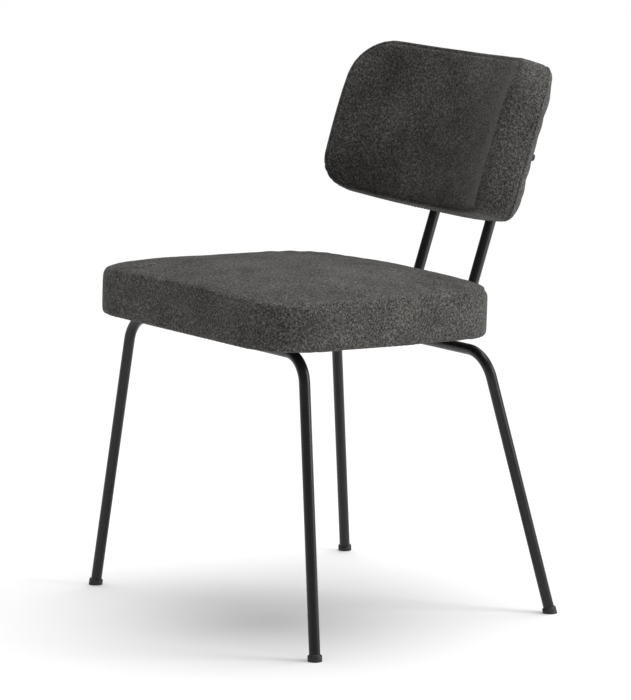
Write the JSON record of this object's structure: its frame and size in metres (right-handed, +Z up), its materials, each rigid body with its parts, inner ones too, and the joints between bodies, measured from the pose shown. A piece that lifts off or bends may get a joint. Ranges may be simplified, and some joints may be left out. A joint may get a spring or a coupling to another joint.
{
  "type": "dining chair",
  "caption": "Upholstered dining chair: a thick padded seat and a curved padded backrest on a bent black tube frame with splayed legs.",
  "frame": {"origin": "on the floor, under the middle of the chair's box", "axes": "+Z up, the chair faces -Y, the sitter's left is +X"},
  "size_m": [0.5888, 0.5842, 0.8049],
  "materials": {
    "frame_paint": "fine satin black powder coat",
    "glide_plastic": "moulded black nylon",
    "wool_felt": "charcoal melange wool felt with a pale fleck",
    "foam": "cut polyurethane foam",
    "plywood": "sanded birch plywood, unfinished",
    "screw_black": "black oxide",
    "screw_zinc": "zinc plated",
    "dust_cloth": "black non-woven polypropylene",
    "spacer_rubber": "smooth black rubber"
  },
  "bodies": {
    "root": {"front_leg_loop": "frame_paint", "rear_leg_loop": "frame_paint", "back_stay_left": "frame_paint", "back_stay_right": "frame_paint", "stay_end_plugs": "glide_plastic", "glide_front_left": "glide_plastic", "glide_front_right": "glide_plastic", "glide_rear_left": "glide_plastic", "glide_rear_right": "glide_plastic", "seat_tabs": "frame_paint", "seat_bracket": "frame_paint", "seat_spacers": "spacer_rubber", "seat_screws": "screw_black", "seat_tee_nuts": "screw_zinc", "seat_board": "plywood", "seat_foam": "foam", "seat_cover": "wool_felt", "seat_dust_cover": "dust_cloth", "back_board": "plywood", "back_strap_upper": "frame_paint", "back_strap_lower": "frame_paint", "back_tee_nuts": "screw_zinc", "back_screws": "screw_black", "back_cap_screws": "screw_black", "back_cap_washers": "screw_black", "back_foam_front": "foam", "back_foam_rear": "foam", "back_cover": "wool_felt"}
  },
  "joints": []
}
